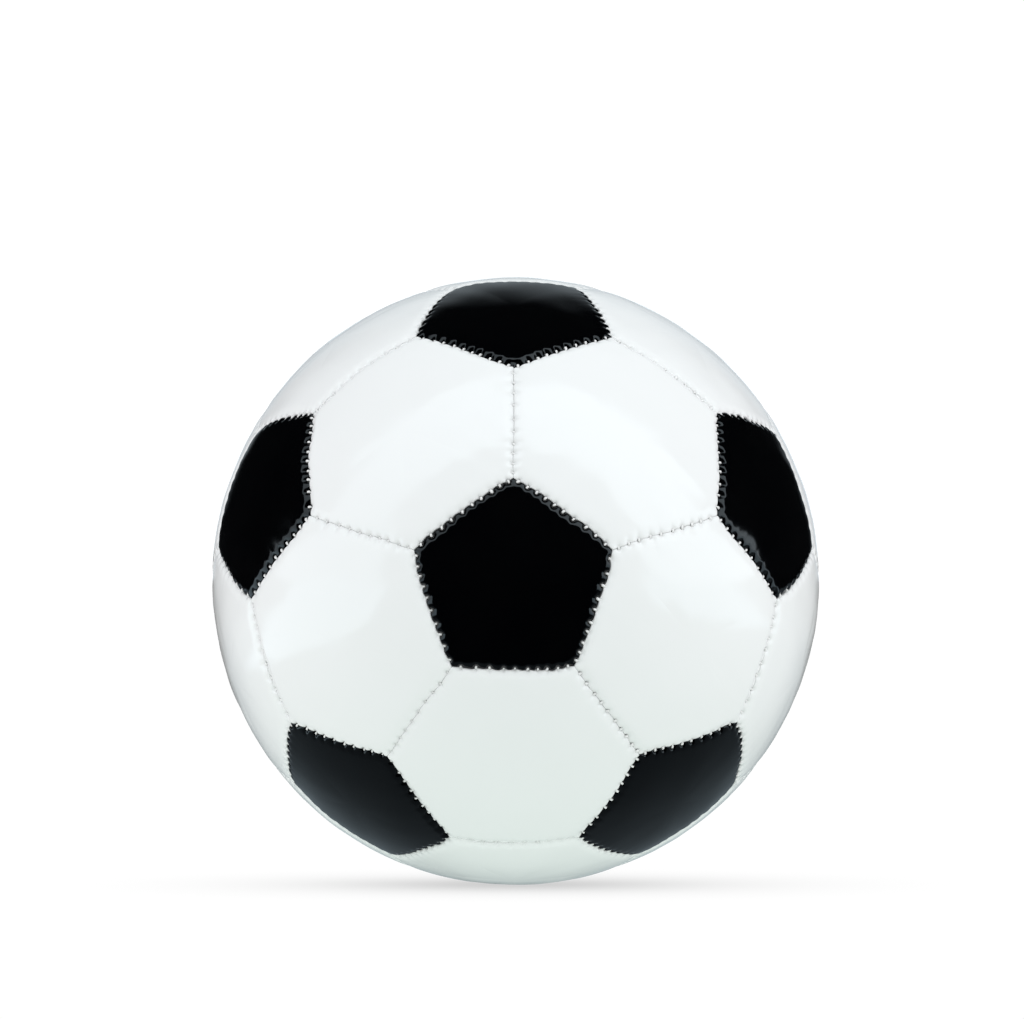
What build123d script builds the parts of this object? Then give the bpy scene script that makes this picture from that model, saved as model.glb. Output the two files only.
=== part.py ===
"""A soccer ball of 32 stitched panels: 12 black pentagons and 20 white hexagons.

Each panel is a tray of glossy PVC whose edges turn in along its seams. A foam pad and a textile
lining lie inside the tray, and two trays meet face to face at every seam, where two threads lock
through a row of holes. Inside is a rubber bladder, with a valve that comes out through one hexagon.

Frame: millimetres, +Z up, origin at the ball's centre. The front pentagon faces -Y, with a corner
up, and the valve points back and up in the ball's mirror plane, X = 0.
"""

import os
from math import acos, atan, cos, degrees, pi, radians, sin, sqrt, tan

from build123d import *

# ---------------------------------------------------------------- driving dimensions, millimetres
BALL_DIAMETER = 215.0

SKIN_THICKNESS = 1.0  # glossy PVC sheet, and each seam allowance, which is the same sheet
PAD_THICKNESS = 2.0  # foam between the skin and the lining
LINING_THICKNESS = 0.8  # two plies of woven cloth
LINING_GAP = 0.1  # between a lining's edge and the seam allowance around it
SEAM_EDGE_RADIUS = 1.2  # rounding of a panel where it turns in

STITCHES_PER_SEAM = 10
STITCH_HOLE_DIAMETER = 0.9
THREAD_WIDTH = 0.7  # the thread that runs along a seam allowance
THREAD_TAIL = 0.4  # its end past the last stitch
LOCK_DIAMETER = 0.6  # the two threads where they lock inside a hole
THREAD_GAP = 0.05  # between a thread and the seam allowance it lies on
PAD_GAP = 0.3  # between a thread and the pad beside it

BLADDER_THICKNESS = 0.6
BLADDER_GAP = 0.1  # between the bladder and the cover around it

NEEDLE_DIAMETER = 1.8  # of the inflation needle that the valve takes
NEEDLE_FIT = 0.05  # radial room around the needle
NEEDLE_MOUTH = 0.5  # countersink that guides the needle in
VALVE_RECESS = 0.4  # from the ball's surface down to the valve
VALVE_PLUG_DIAMETER = 5.6
VALVE_PLUG_LENGTH = 14.0  # below the head
VALVE_HEAD_THICKNESS = 1.4
VALVE_HEAD_LIP = 1.2  # the head stands this far out past the plug
VALVE_BULB_LENGTH = 3.0  # the bulb at the plug's inner end holds it in its sleeve
VALVE_BULB_LIP = 0.8
VALVE_FIT = 0.05  # radial room between the plug and its sleeve
VALVE_WALL = 1.5  # of the sleeve around the plug
VALVE_FLANGE_DIAMETER = 30.0  # of the sleeve's foot, vulcanised inside the bladder
VALVE_FLANGE_THICKNESS = 1.2
VALVE_HOLE_GAP = 0.2  # between the sleeve and the layers it passes through
PATCH_DIAMETER = 26.0  # cloth ring that reinforces the valve's panel
PATCH_THICKNESS = 0.5
PATCH_GAP = 0.2  # around the ring

# ------------------------------------------------------------------------------- worked-out sizes
BALL_RADIUS = BALL_DIAMETER / 2
PAD_RADIUS = BALL_RADIUS - SKIN_THICKNESS
LINING_RADIUS = PAD_RADIUS - PAD_THICKNESS
COVER_INNER_RADIUS = LINING_RADIUS - LINING_THICKNESS
BLADDER_RADIUS = COVER_INNER_RADIUS - BLADDER_GAP
BLADDER_INNER_RADIUS = BLADDER_RADIUS - BLADDER_THICKNESS
CUTTER_RADIUS = BALL_RADIUS + 5.0  # cutters reach past the ball's surface

STITCH_RADIUS = (PAD_RADIUS + LINING_RADIUS) / 2  # the stitches lie half-way down the pads
THREAD_OFFSET = SKIN_THICKNESS + THREAD_GAP + THREAD_WIDTH / 2  # from the seam's plane
PAD_INSET = THREAD_OFFSET + THREAD_WIDTH / 2 + PAD_GAP
LINING_INSET = SKIN_THICKNESS + LINING_GAP

NEEDLE_BORE_RADIUS = NEEDLE_DIAMETER / 2 + NEEDLE_FIT
PLUG_RADIUS = VALVE_PLUG_DIAMETER / 2
HEAD_RADIUS = PLUG_RADIUS + VALVE_HEAD_LIP
BULB_RADIUS = PLUG_RADIUS + VALVE_BULB_LIP
STALK_RADIUS = PLUG_RADIUS + VALVE_FIT + VALVE_WALL  # of the sleeve, inside the bladder
COLLAR_RADIUS = HEAD_RADIUS + VALVE_FIT + VALVE_WALL  # of the sleeve, through the cover
VALVE_HOLE_RADIUS = COLLAR_RADIUS + VALVE_HOLE_GAP
VALVE_TOP = BALL_RADIUS - VALVE_RECESS  # heights along the valve, from the ball's centre
HEAD_SEAT = VALVE_TOP - VALVE_HEAD_THICKNESS
PLUG_TIP = HEAD_SEAT - VALVE_PLUG_LENGTH
BULB_TOP = PLUG_TIP + VALVE_BULB_LENGTH

# The corners of the 32 panels are those of a truncated icosahedron of this edge.
EDGE = 4 * BALL_RADIUS / sqrt(58 + 18 * sqrt(5))
SEAM_ANGLE = 2 * degrees(atan(EDGE / 2 / sqrt(BALL_RADIUS**2 - EDGE**2 / 4)))
STITCH_ANGLE = SEAM_ANGLE / STITCHES_PER_SEAM
STITCH_SPAN = SEAM_ANGLE - STITCH_ANGLE  # from the first stitch of a seam to the last

# Angles between the front pentagon's centre and the rings of panels behind it.
PENTAGON_RING = degrees(atan(2))
HEXAGON_RING = degrees(acos(sqrt((5 + 2 * sqrt(5)) / 15)))
HEXAGON_RING_2 = degrees(acos(sqrt((5 - 2 * sqrt(5)) / 15)))


def seam_tilt(sides):
    """Angle between a panel's axis and the planes of its seams, in degrees."""
    corner_radius = EDGE / 2 / sin(pi / sides)
    apothem = EDGE / 2 / tan(pi / sides)
    return degrees(atan(apothem / sqrt(BALL_RADIUS**2 - corner_radius**2)))


def direction(polar, around):
    """Unit vector at a polar angle from -Y, turned around -Y from +X towards +Z, in degrees."""
    p, a = radians(polar), radians(around)
    return Vector(sin(p) * cos(a), -cos(p), sin(p) * sin(a))


def seat(axis, towards):
    """Plane at the ball's centre, with Z along axis and X turned to the direction towards."""
    return Plane(origin=(0, 0, 0), x_dir=towards - axis * axis.dot(towards), z_dir=axis)


# ------------------------------------------------------------------ where the panels and seams lie
UP = 90.0
FIFTH = 72.0
FIRST_SEAM = {5: 36.0, 6: 0.0}  # where the first seam lies around a panel, from the panel's X
POLES_ASIDE = (90, 0, 0)  # turns a sphere's poles away from the panel that is cut from it
pentagon_axes = {"front": direction(0, 0)}
hexagon_axes = {}
for i in range(5):
    pentagon_axes[f"near_{i + 1}"] = direction(PENTAGON_RING, UP + FIFTH * i)
    pentagon_axes[f"far_{i + 1}"] = direction(180 - PENTAGON_RING, -UP + FIFTH * i)
    hexagon_axes[f"front_{i + 1}"] = direction(HEXAGON_RING, -UP + FIFTH * i)
    hexagon_axes[f"near_{i + 1}"] = direction(HEXAGON_RING_2, -UP + FIFTH * i)
    hexagon_axes[f"far_{i + 1}"] = direction(180 - HEXAGON_RING_2, UP + FIFTH * i)
    hexagon_axes[f"back_{i + 1}"] = direction(180 - HEXAGON_RING, UP + FIFTH * i)
pentagon_axes["back"] = direction(180, 0)


def neighbours(axis, others, angle):
    """The axes among others that lie at that angle from axis, in degrees."""
    return [other for other in others if abs(axis.get_angle(other) - angle) < 1]


# A pentagon's X points to a corner. A hexagon's X points to the middle of a seam with a pentagon.
pentagon_seats = {
    name: seat(axis, neighbours(axis, pentagon_axes.values(), PENTAGON_RING)[0])
    for name, axis in pentagon_axes.items()
}
hexagon_seats = {
    name: seat(axis, neighbours(axis, pentagon_axes.values(), HEXAGON_RING)[0])
    for name, axis in hexagon_axes.items()
}
valve_seat = hexagon_seats.pop("back_1")


def seam_seats(first_axes, second_axes, angle, sides):
    """One plane for each seam between two kinds of panels whose centres lie that angle apart.

    sides is the first kind's number of sides. A plane's X points to the middle of its seam, and its
    Z across the seam.
    """
    tilt = radians(seam_tilt(sides))
    seats = []
    for i, first in enumerate(first_axes):
        for second in neighbours(first, second_axes, angle):
            if second in first_axes[:i]:
                continue
            outwards = (second - first * first.dot(second)).normalized()
            middle = first * cos(tilt) + outwards * sin(tilt)
            across = outwards * cos(tilt) - first * sin(tilt)
            seats.append(Plane(origin=(0, 0, 0), x_dir=middle, z_dir=across))
    return seats


pentagons = list(pentagon_axes.values())
hexagons = list(hexagon_axes.values())
black_seam_seats = seam_seats(pentagons, hexagons, HEXAGON_RING, sides=5)
white_seam_seats = seam_seats(hexagons, hexagons, 2 * seam_tilt(6), sides=6)


# ----------------------------------------------- one panel of each kind, with its centre along +Z
def panel_seam_seats(sides):
    """A plane for each seam of a panel: X points to the seam's middle, and Z out of the panel."""
    tilt = radians(seam_tilt(sides))
    seats = []
    for i in range(sides):
        around = radians(FIRST_SEAM[sides] + 360 / sides * i)
        middle = (sin(tilt) * cos(around), sin(tilt) * sin(around), cos(tilt))
        across = (cos(tilt) * cos(around), cos(tilt) * sin(around), -sin(tilt))
        seats.append(Plane(origin=(0, 0, 0), x_dir=middle, z_dir=across))
    return seats


def panel_layer(sides, inset, outer_radius, inner_radius):
    """A curved sheet between two spheres, inside the seam planes moved in by inset."""
    with BuildPart() as layer:
        Sphere(outer_radius, rotation=POLES_ASIDE)
        Sphere(inner_radius, rotation=POLES_ASIDE, mode=Mode.SUBTRACT)
        for seam_seat in panel_seam_seats(sides):
            split(bisect_by=seam_seat.offset(-inset), keep=Keep.BOTTOM)
    return layer.part


def stitch_places():
    """The stitches of one seam, in the seam's plane, on an arc around the ball's centre."""
    return PolarLocations(
        radius=STITCH_RADIUS,
        count=STITCHES_PER_SEAM,
        start_angle=-STITCH_SPAN / 2,
        angular_range=STITCH_SPAN,
        endpoint=True,
    )


def panel_skin(sides):
    """The PVC tray: a curved sheet, its turned-in seam allowances and their stitch holes."""
    blank = panel_layer(sides, 0, BALL_RADIUS, COVER_INNER_RADIUS)
    hollow = panel_layer(sides, SKIN_THICKNESS, PAD_RADIUS, COVER_INNER_RADIUS - SKIN_THICKNESS)
    with BuildPart() as skin:
        add(blank)
        fillet(skin.faces().sort_by(Axis.Z)[-1].edges(), radius=SEAM_EDGE_RADIUS)
        add(hollow, mode=Mode.SUBTRACT)
        with BuildSketch(*panel_seam_seats(sides)):
            with stitch_places():
                Circle(STITCH_HOLE_DIAMETER / 2)
        extrude(amount=SKIN_THICKNESS * 1.5, both=True, mode=Mode.SUBTRACT)
    return skin.part


pentagon_skin = panel_skin(5)
hexagon_skin = panel_skin(6)
pentagon_pad = panel_layer(5, PAD_INSET, PAD_RADIUS, LINING_RADIUS)
hexagon_pad = panel_layer(6, PAD_INSET, PAD_RADIUS, LINING_RADIUS)
pentagon_lining = panel_layer(5, LINING_INSET, LINING_RADIUS, COVER_INNER_RADIUS)
hexagon_lining = panel_layer(6, LINING_INSET, LINING_RADIUS, COVER_INNER_RADIUS)

# One seam's threads, in the plane of the seam: one along each allowance, pulled flat, and locked
# to the other through each hole.
with BuildPart() as seam_thread:
    thread_span = STITCH_SPAN + 2 * degrees(THREAD_TAIL / STITCH_RADIUS)
    with BuildSketch(Plane.XZ.rotated((0, 0, -thread_span / 2))):
        with Locations((STITCH_RADIUS, THREAD_OFFSET), (STITCH_RADIUS, -THREAD_OFFSET)):
            Rectangle(THREAD_WIDTH, THREAD_WIDTH)
    revolve(axis=Axis.Z, revolution_arc=thread_span)
    with stitch_places():
        Cylinder(radius=LOCK_DIAMETER / 2, height=2 * THREAD_OFFSET)

# -------------------------------------------------------------------------------- the whole cover
os.makedirs("parts", exist_ok=True)


def save(piece, name):
    """Write one finished piece to its own file."""
    piece.label = name
    export_step(piece, f"parts/{name}.step")


def placed(piece, seats):
    """Copies of a piece, one on each seat."""
    with BuildPart() as group:
        with Locations(*seats):
            add(piece)
    return group.part


for place, panel_seat in pentagon_seats.items():
    save(placed(pentagon_skin, [panel_seat]), f"pentagon_panel_{place}")
for place, panel_seat in hexagon_seats.items():
    save(placed(hexagon_skin, [panel_seat]), f"hexagon_panel_{place}")

save(placed(pentagon_pad, pentagon_seats.values()), "pentagon_pads")
save(placed(hexagon_pad, hexagon_seats.values()), "hexagon_pads")
save(placed(pentagon_lining, pentagon_seats.values()), "pentagon_linings")
save(placed(hexagon_lining, hexagon_seats.values()), "hexagon_linings")
save(placed(seam_thread.part, black_seam_seats), "pentagon_seam_threads")
save(placed(seam_thread.part, white_seam_seats), "hexagon_seam_threads")

# ------------------------------------------- the valve's own panel, with a hole through each layer
ON_BASE = (Align.CENTER, Align.CENTER, Align.MIN)

with BuildPart() as valve_panel:
    with Locations(valve_seat):
        add(hexagon_skin)
        Cylinder(VALVE_HOLE_RADIUS, CUTTER_RADIUS, align=ON_BASE, mode=Mode.SUBTRACT)
save(valve_panel.part, "valve_panel")

with BuildPart() as valve_patch:
    with Locations(valve_seat):
        Cylinder(PATCH_DIAMETER / 2, CUTTER_RADIUS, align=ON_BASE)
        Cylinder(VALVE_HOLE_RADIUS, CUTTER_RADIUS, align=ON_BASE, mode=Mode.SUBTRACT)
    Sphere(LINING_RADIUS + PATCH_THICKNESS, mode=Mode.INTERSECT)
    Sphere(LINING_RADIUS, mode=Mode.SUBTRACT)
save(valve_patch.part, "valve_patch")

with BuildPart() as patch_room:
    with Locations(valve_seat):
        Cylinder(PATCH_DIAMETER / 2 + PATCH_GAP, CUTTER_RADIUS, align=ON_BASE)
    Sphere(LINING_RADIUS + PATCH_THICKNESS, mode=Mode.INTERSECT)

with BuildPart() as valve_panel_pad:
    with Locations(valve_seat):
        add(hexagon_pad)
        Cylinder(VALVE_HOLE_RADIUS, CUTTER_RADIUS, align=ON_BASE, mode=Mode.SUBTRACT)
    add(patch_room.part, mode=Mode.SUBTRACT)
save(valve_panel_pad.part, "valve_panel_pad")

with BuildPart() as valve_panel_lining:
    with Locations(valve_seat):
        add(hexagon_lining)
        Cylinder(VALVE_HOLE_RADIUS, CUTTER_RADIUS, align=ON_BASE, mode=Mode.SUBTRACT)
save(valve_panel_lining.part, "valve_panel_lining")

# --------------------------------------------------------------------------- bladder and its valve
with BuildPart() as bladder:
    Sphere(BLADDER_RADIUS)
    Sphere(BLADDER_INNER_RADIUS, mode=Mode.SUBTRACT)
    with Locations(valve_seat):
        Cylinder(VALVE_HOLE_RADIUS, CUTTER_RADIUS, align=ON_BASE, mode=Mode.SUBTRACT)
save(bladder.part, "bladder")

# The sleeve: a foot that seals the bladder from inside, a collar through the cover, and a stalk.
with BuildPart() as valve_sleeve:
    with Locations(valve_seat):
        Cylinder(VALVE_FLANGE_DIAMETER / 2, CUTTER_RADIUS, align=ON_BASE)
    Sphere(BLADDER_INNER_RADIUS, mode=Mode.INTERSECT)
    Sphere(BLADDER_INNER_RADIUS - VALVE_FLANGE_THICKNESS, mode=Mode.SUBTRACT)
    with Locations(valve_seat.offset(BULB_TOP)):
        Cylinder(STALK_RADIUS, HEAD_SEAT - BULB_TOP, align=ON_BASE)
    with Locations(valve_seat.offset(BLADDER_INNER_RADIUS - VALVE_FLANGE_THICKNESS)):
        collar_height = VALVE_TOP - BLADDER_INNER_RADIUS + VALVE_FLANGE_THICKNESS
        Cylinder(COLLAR_RADIUS, collar_height, align=ON_BASE)
    with Locations(valve_seat):
        Cylinder(PLUG_RADIUS + VALVE_FIT, CUTTER_RADIUS, align=ON_BASE, mode=Mode.SUBTRACT)
    with Locations(valve_seat.offset(HEAD_SEAT)):
        Cylinder(
            HEAD_RADIUS + VALVE_FIT, CUTTER_RADIUS - HEAD_SEAT, align=ON_BASE, mode=Mode.SUBTRACT
        )
save(valve_sleeve.part, "valve_sleeve")

# The plug, as a half section: X is the distance from the valve's axis, Y the height along it.
valve_section = Plane(
    origin=(0, 0, 0), x_dir=valve_seat.x_dir, z_dir=valve_seat.x_dir.cross(valve_seat.z_dir)
)
with BuildPart() as valve_plug:
    with BuildSketch(valve_section):
        with BuildLine():
            Polyline(
                (NEEDLE_BORE_RADIUS, PLUG_TIP),
                ((NEEDLE_BORE_RADIUS + BULB_RADIUS) / 2, PLUG_TIP),
                (BULB_RADIUS, (PLUG_TIP + BULB_TOP) / 2),
                (BULB_RADIUS, BULB_TOP),
                (PLUG_RADIUS, BULB_TOP),
                (PLUG_RADIUS, HEAD_SEAT),
                (HEAD_RADIUS, HEAD_SEAT),
                (HEAD_RADIUS, VALVE_TOP),
                (NEEDLE_BORE_RADIUS + NEEDLE_MOUTH, VALVE_TOP),
                (NEEDLE_BORE_RADIUS, VALVE_TOP - NEEDLE_MOUTH),
                close=True,
            )
        make_face()
    revolve(axis=Axis((0, 0, 0), valve_seat.z_dir))
save(valve_plug.part, "valve_plug")

# Where the needle's bore lies, for the record.
bore_length = VALVE_TOP - NEEDLE_MOUTH - PLUG_TIP
bore_middle = valve_seat.z_dir * (PLUG_TIP + bore_length / 2)
print("needle bore: axis", valve_seat.z_dir, "middle", bore_middle, "length", bore_length)
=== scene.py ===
"""A stitched soccer ball: 12 glossy black pentagons and 20 glossy white hexagons.

The skins and the stitches are surfaces worked out with numpy on the ball's own layout, a truncated
icosahedron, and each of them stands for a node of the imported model. The layers inside the ball and
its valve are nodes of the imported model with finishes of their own.

Directions are unit vectors from the ball's centre, lengths on the ball are millimetres, and meshes
are metres. The front pentagon faces -Y, with a corner up.
"""

from __future__ import annotations

import logging
import math
from dataclasses import dataclass, field
from enum import Enum
from functools import reduce

import bpy
import numpy as np
from mathutils import Euler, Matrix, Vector

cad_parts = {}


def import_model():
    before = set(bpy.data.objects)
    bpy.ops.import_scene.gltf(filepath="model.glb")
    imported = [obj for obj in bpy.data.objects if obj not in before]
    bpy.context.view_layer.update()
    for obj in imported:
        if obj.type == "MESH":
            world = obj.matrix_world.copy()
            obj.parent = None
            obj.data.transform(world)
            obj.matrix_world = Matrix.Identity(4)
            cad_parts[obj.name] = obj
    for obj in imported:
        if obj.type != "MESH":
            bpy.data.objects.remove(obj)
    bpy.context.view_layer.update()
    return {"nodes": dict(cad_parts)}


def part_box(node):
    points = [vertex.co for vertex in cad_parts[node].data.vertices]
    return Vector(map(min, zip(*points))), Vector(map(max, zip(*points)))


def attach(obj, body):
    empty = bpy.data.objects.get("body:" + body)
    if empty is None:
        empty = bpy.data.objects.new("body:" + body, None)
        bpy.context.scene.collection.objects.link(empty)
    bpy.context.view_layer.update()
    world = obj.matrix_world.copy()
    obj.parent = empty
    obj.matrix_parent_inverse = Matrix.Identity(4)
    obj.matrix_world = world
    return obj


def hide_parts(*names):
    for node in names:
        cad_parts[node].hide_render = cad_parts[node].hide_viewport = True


MM = 0.001
LINING_GAP = 0.1  # millimetres from the bladder to the inside of the cover
BODY = "root"

log = logging.getLogger("soccer_ball")


# --------------------------------------------------------------------------------------- helpers
def unit(vectors: np.ndarray) -> np.ndarray:
    """Vectors divided by their lengths, along the last axis."""
    return vectors / np.linalg.norm(vectors, axis=-1, keepdims=True)


def ease(x: np.ndarray) -> np.ndarray:
    """A smooth step from 0 at x = 0 to 1 at x = 1: 3x squared less 2x cubed."""
    x = np.clip(x, 0.0, 1.0)
    return x * x * (3.0 - 2.0 * x)


def bell(x: np.ndarray, width: float) -> np.ndarray:
    """A bell curve of height 1: e to the power of minus (x over width) squared."""
    return np.exp(-np.square(x / width))


def make_object(name: str, points: np.ndarray, faces: np.ndarray) -> bpy.types.Object:
    """Make a smooth mesh piece that rides on the ball.

    Args:
        name: the piece's name.
        points: corner positions in millimetres, one row each.
        faces: four corner numbers a row, where a triangle repeats its last one.

    Returns:
        The new object, linked to the scene.
    """
    is_quad = faces[:, 2] != faces[:, 3]
    loops = np.where(is_quad, 4, 3)
    keep = np.ones(faces.shape, bool)
    keep[:, 3] = is_quad
    corners = faces[keep]
    mesh = bpy.data.meshes.new(name)
    mesh.vertices.add(len(points))
    mesh.vertices.foreach_set("co", (points * MM).astype(np.float32).ravel())
    mesh.loops.add(len(corners))
    mesh.loops.foreach_set("vertex_index", corners.astype(np.int32))
    mesh.polygons.add(len(faces))
    starts = np.concatenate([[0], np.cumsum(loops)[:-1]])
    mesh.polygons.foreach_set("loop_start", starts.astype(np.int32))
    mesh.polygons.foreach_set("use_smooth", np.ones(len(faces), bool))
    mesh.update(calc_edges=True)
    mesh.validate()
    piece = bpy.data.objects.new(name, mesh)
    bpy.context.scene.collection.objects.link(piece)
    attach(piece, BODY)
    return piece


def add_attribute(piece: bpy.types.Object, name: str, values: np.ndarray) -> None:
    """Store one number for each corner point of a piece, for its material to read."""
    layer = piece.data.attributes.new(name, "FLOAT", "POINT")
    layer.data.foreach_set("value", values.astype(np.float32))


# ---------------------------------------------------------------------------------------- layout
class PanelKind(Enum):
    """The two kinds of panels, with the number of their sides."""

    PENTAGON = 5
    HEXAGON = 6


@dataclass(frozen=True)
class Panel:
    """One panel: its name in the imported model, kind, middle and corners in turn."""

    name: str
    kind: PanelKind
    middle: np.ndarray
    corners: tuple[int, ...]


@dataclass(frozen=True)
class Seam:
    """One seam: its first end, the direction along it from there, its normal and its stitches.

    Stitches are distances from the first end in millimetres, each with the strength of its pull on
    the sheets. The seam line wanders to either side by a sum of waves, each an amount in
    millimetres, a count along the seam and a phase, it bulges along its normal, and each stitch
    jogs it aside. Seams round black panels bulge away from them. Crispness is how sharply the
    sheets turn into the seam, and its square root how steeply, 1 being usual.
    """

    start: np.ndarray
    along: np.ndarray
    normal: np.ndarray
    length: float
    stitches: np.ndarray
    pulls: np.ndarray
    waves: np.ndarray
    bulge: float
    jog: float
    crispness: float
    black: bool

    # Where columns stand between two stitches, and between a corner and a stitch, as shares.
    STITCH_GAP = (0.0, 0.055, 0.12, 0.20, 0.31, 0.43, 0.57, 0.69, 0.80, 0.88, 0.945)
    CORNER_GAP = (0.0, 0.10, 0.25, 0.45, 0.65, 0.82, 0.93)
    JOG_WIDTH = 0.8  # of the bell at a stitch, in millimetres
    END_FADE = 6  # the line runs true within one part in so many of each end

    def columns(self) -> np.ndarray:
        """Places along the seam for the columns of a grid, closer together at the stitches.

        Each gap is divided at fixed shares: its start plus its length times a share.

        Returns:
            Distances from the first end in millimetres, without the last end.
        """
        stops = np.concatenate([[0.0], self.stitches, [self.length]])
        inner, outer = np.array(self.STITCH_GAP), np.array(self.CORNER_GAP)
        places = [stops[0] + (stops[1] - stops[0]) * outer]
        gaps = np.diff(stops)[1:-1, None]
        places.append((stops[1:-2, None] + gaps * inner).ravel())
        places.append(stops[-2] + (stops[-1] - stops[-2]) * outer)
        return np.concatenate(places)

    def wander(self, t: np.ndarray) -> np.ndarray:
        """How far the seam line lies to the side of its arc, t millimetres from its first end.

        It is a sum of sines, a steady bulge and a bell at each stitch, all fading to nothing at the
        seam's ends.

        Args:
            t: distances from the first end, in millimetres.

        Returns:
            Distances to the side in millimetres, along the seam's normal.
        """
        share = np.clip(t / self.length, 0.0, 1.0)
        waves = sum(a * np.sin(2 * np.pi * (n * share + p)) for a, n, p in self.waves)
        from_stitches = np.asarray(t)[..., None] - self.stitches
        jogs = self.jog * bell(from_stitches, self.JOG_WIDTH).sum(axis=-1)
        fade = self.END_FADE
        return (waves + self.bulge + jogs) * ease(fade * share) * ease(fade * (1 - share))


@dataclass
class BallLayout:
    """Where the panels, their corners and their seams lie, on a ball of a given radius."""

    radius: float
    stitches_per_seam: int = 10
    pitch_spread: float = 0.10
    end_gap: float = 0.62  # from a corner to its stitch, in pitches
    crowding: tuple[float, float] = (1.16, 0.84)  # of the pitch, at a seam's loose and crowded ends
    pull_range: tuple[float, float] = (0.65, 1.35)  # of the stitches on the sheets
    # Waves of a seam line: each a count along it and its largest amount in millimetres.
    line_waves: tuple[tuple[float, float], ...] = (
        (1.0, 0.30), (2.5, 0.18), (4.5, 0.12), (9.5, 0.12),
    )
    crispness_powers: tuple[float, float] = (-1.3, 0.5)  # of two
    neighbour_angle: float = 70.0  # pentagons whose middles lie within it, in degrees, are next
    corner_share: float = 0.326  # of the way from a pentagon's middle to the next one's
    black_bulge: float = 0.85  # of the seams round a black panel, in millimetres
    jog: float = 0.28  # of the seam line at each stitch, in millimetres
    # Seams that are pulled less tight, by their black and white panels, and how crisp those are.
    slack_seams: tuple[tuple[str, str], ...] = (
        ("pentagon_panel_near_2", "hexagon_panel_front_5"),
        ("pentagon_panel_near_5", "hexagon_panel_front_2"),
    )
    slack_crispness: float = 0.50
    seed: int = 7
    panels: list[Panel] = field(default_factory=list)
    seams: dict[frozenset[int], Seam] = field(default_factory=dict)
    corners: np.ndarray = field(default_factory=lambda: np.zeros((0, 3)))

    ASKEW = (0.31, 0.17, 0.93)  # any direction that is no panel's middle

    def __post_init__(self) -> None:
        """Lay out the panels by rings behind the front pentagon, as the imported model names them."""
        pentagons, hexagons = self.panel_middles()
        pentagon_axes = np.array(list(pentagons.values()))
        near = np.degrees(np.arccos(np.clip(pentagon_axes @ pentagon_axes.T, -1, 1)))
        pairs = np.argwhere((near > 1) & (near < self.neighbour_angle))
        share = self.corner_share
        self.corners = unit(
            np.array([(1 - share) * pentagon_axes[i] + share * pentagon_axes[j] for i, j in pairs])
        )
        for kind, axes in ((PanelKind.PENTAGON, pentagons), (PanelKind.HEXAGON, hexagons)):
            for name, middle in axes.items():
                closest = np.argsort(-(self.corners @ middle))[: kind.value]
                self.panels.append(Panel(name, kind, middle, self.in_turn(middle, closest)))
        rng = np.random.default_rng(self.seed)
        for panel in self.panels:
            for first, second in zip(panel.corners, panel.corners[1:] + panel.corners[:1]):
                ends = frozenset((first, second))
                if ends not in self.seams:
                    self.seams[ends] = self.make_seam(panel, min(ends), max(ends), rng)

    def panel_middles(self) -> tuple[dict[str, np.ndarray], dict[str, np.ndarray]]:
        """The middles of the panels: a front one, a back one and rings of five between them.

        Returns:
            The pentagons' middles and the hexagons', by node name.
        """
        pentagon_ring = math.atan(2.0)
        hexagon_ring = math.acos(math.sqrt((5 + 2 * math.sqrt(5)) / 15))
        hexagon_ring_2 = math.acos(math.sqrt((5 - 2 * math.sqrt(5)) / 15))
        up, fifth = math.pi / 2, math.radians(72)

        def aim(polar: float, around: float) -> np.ndarray:
            """A direction at an angle from -Y: its sine across, turned round, and its cosine along.

            Args:
                polar: the angle from -Y.
                around: the turn round it, from +X towards +Z.

            Returns:
                The unit vector.
            """
            return np.array(
                [
                    math.sin(polar) * math.cos(around),
                    -math.cos(polar),
                    math.sin(polar) * math.sin(around),
                ]
            )

        pentagons = {
            "pentagon_panel_front": aim(0.0, 0.0),
            "pentagon_panel_back": aim(math.pi, 0.0),
        }
        hexagons = {}
        for i in range(5):
            turn, place = fifth * i, i + 1
            pentagons[f"pentagon_panel_near_{place}"] = aim(pentagon_ring, up + turn)
            pentagons[f"pentagon_panel_far_{place}"] = aim(math.pi - pentagon_ring, turn - up)
            hexagons[f"hexagon_panel_front_{place}"] = aim(hexagon_ring, turn - up)
            hexagons[f"hexagon_panel_near_{place}"] = aim(hexagon_ring_2, turn - up)
            hexagons[f"hexagon_panel_far_{place}"] = aim(math.pi - hexagon_ring_2, up + turn)
            hexagons[f"hexagon_panel_back_{place}"] = aim(math.pi - hexagon_ring, up + turn)
        hexagons["valve_panel"] = hexagons.pop("hexagon_panel_back_1")
        return pentagons, hexagons

    def in_turn(self, middle: np.ndarray, numbers: np.ndarray) -> tuple[int, ...]:
        """Corner numbers in order of their angle round a panel's middle.

        Args:
            middle: the panel's middle.
            numbers: its corners, in any order.

        Returns:
            The same numbers, anticlockwise as seen from outside the ball.
        """
        first = unit(np.cross(middle, self.ASKEW))
        second = np.cross(middle, first)
        points = self.corners[numbers]
        order = np.argsort(np.arctan2(points @ second, points @ first))
        return tuple(int(numbers[k]) for k in order)

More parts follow.
